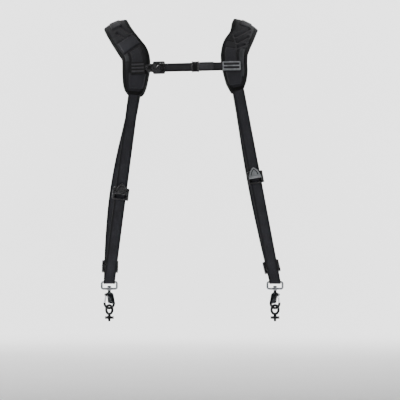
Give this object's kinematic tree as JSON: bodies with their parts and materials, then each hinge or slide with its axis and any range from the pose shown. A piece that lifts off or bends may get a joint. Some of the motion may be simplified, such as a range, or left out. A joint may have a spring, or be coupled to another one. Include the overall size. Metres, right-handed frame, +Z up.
{
  "type": "dual camera harness",
  "caption": "Two padded shoulder slings joined by a buckled chest strap, each with cam locks, a swivel snap hook and a ring bolt for a hanging camera.",
  "frame": {"origin": "midway between the two shoulder crests, level with the undersides of the pads there", "axes": "+Z up, -Y out of the chest, +X across the shoulders to the left side of the wearer"},
  "size_m": [0.4039, 0.2303, 0.6649],
  "materials": {
    "padding": "ribbed woven cover with a bound edge",
    "webbing": "woven nylon webbing",
    "panel": "smooth coated cloth",
    "plastic": "moulded, satin",
    "metal": "satin",
    "dark_metal": "black coated",
    "rubber": "matt"
  },
  "bodies": {
    "harness": {"back_strap": "webbing", "buckle_plug": "plastic", "buckle_socket": "plastic", "chest_keeper": "plastic", "chest_sleeve": "webbing", "chest_webbing": "webbing", "label_band": "panel", "left_crest_band": "webbing", "left_front_lock_body": "plastic", "left_hook_eye": "metal", "left_lower_panel": "panel", "left_pad_rail": "webbing", "left_rear_lock_body": "plastic", "left_shoulder_pad": "padding", "left_sling_webbing": "webbing", "left_sternum_slider": "plastic", "right_crest_band": "webbing", "right_front_lock_body": "plastic", "right_hook_eye": "metal", "right_lower_panel": "panel", "right_pad_rail": "webbing", "right_rear_lock_body": "plastic", "right_shoulder_pad": "padding", "right_sling_webbing": "webbing", "right_sternum_slider": "plastic"},
    "left_hook": {"left_hook_body": "dark_metal"},
    "left_gate": {"left_hook_gate": "metal"},
    "left_ring": {"left_ring_bolt": "dark_metal", "left_ring_washer": "rubber"},
    "left_front_lever": {"left_front_lock_lever": "plastic"},
    "left_rear_lever": {"left_rear_lock_lever": "plastic"},
    "right_hook": {"right_hook_body": "dark_metal"},
    "right_gate": {"right_hook_gate": "metal"},
    "right_ring": {"right_ring_bolt": "dark_metal", "right_ring_washer": "rubber"},
    "right_front_lever": {"right_front_lock_lever": "plastic"},
    "right_rear_lever": {"right_rear_lock_lever": "plastic"}
  },
  "joints": [
    {"name": "left_hook_swivel", "type": "hinge", "parent": "harness", "child": "left_hook", "pos_m": [-0.1574, -0.04, -0.5757], "axis": [0, 0, 1], "continuous": true},
    {"name": "left_gate_hinge", "type": "hinge", "parent": "left_hook", "child": "left_gate", "pos_m": [-0.16445, -0.04256, -0.58875], "axis": [0.342, -0.9397, 0], "range_deg": [0, 22], "stiffness_Nm_per_rad": 0.08, "springref_deg": -22.92},
    {"name": "left_ring_swing", "type": "hinge", "parent": "left_hook", "child": "left_ring", "pos_m": [-0.1574, -0.04, -0.6185], "axis": [0.7071, 0.7071, 0], "range_deg": [-45, 45]},
    {"name": "left_front_lever_hinge", "type": "hinge", "parent": "harness", "child": "left_front_lever", "pos_m": [-0.1312, -0.0929, -0.36457], "axis": [0.9915, 0.0234, -0.1277], "range_deg": [0, 100]},
    {"name": "left_rear_lever_hinge", "type": "hinge", "parent": "harness", "child": "left_rear_lever", "pos_m": [-0.15571, -0.02304, -0.5258], "axis": [-0.9997, 0.0085, 0.0247], "range_deg": [0, 100]},
    {"name": "right_hook_swivel", "type": "hinge", "parent": "harness", "child": "right_hook", "pos_m": [0.2089, -0.04, -0.5757], "axis": [0, 0, 1], "continuous": true},
    {"name": "right_gate_hinge", "type": "hinge", "parent": "right_hook", "child": "right_gate", "pos_m": [0.2154, -0.04375, -0.58875], "axis": [0.5, 0.866, 0], "range_deg": [0, 22], "stiffness_Nm_per_rad": 0.08, "springref_deg": -22.92},
    {"name": "right_ring_swing", "type": "hinge", "parent": "right_hook", "child": "right_ring", "pos_m": [0.2089, -0.04, -0.6185], "axis": [-0.5736, 0.8192, 0], "range_deg": [-45, 45]},
    {"name": "right_front_lever_hinge", "type": "hinge", "parent": "harness", "child": "right_front_lever", "pos_m": [0.1642, -0.09816, -0.3284], "axis": [0.9825, -0.0286, 0.1842], "range_deg": [0, 100]},
    {"name": "right_rear_lever_hinge", "type": "hinge", "parent": "harness", "child": "right_rear_lever", "pos_m": [0.20075, -0.02349, -0.52625], "axis": [-0.9759, -0.0697, -0.2066], "range_deg": [0, 100]}
  ]
}
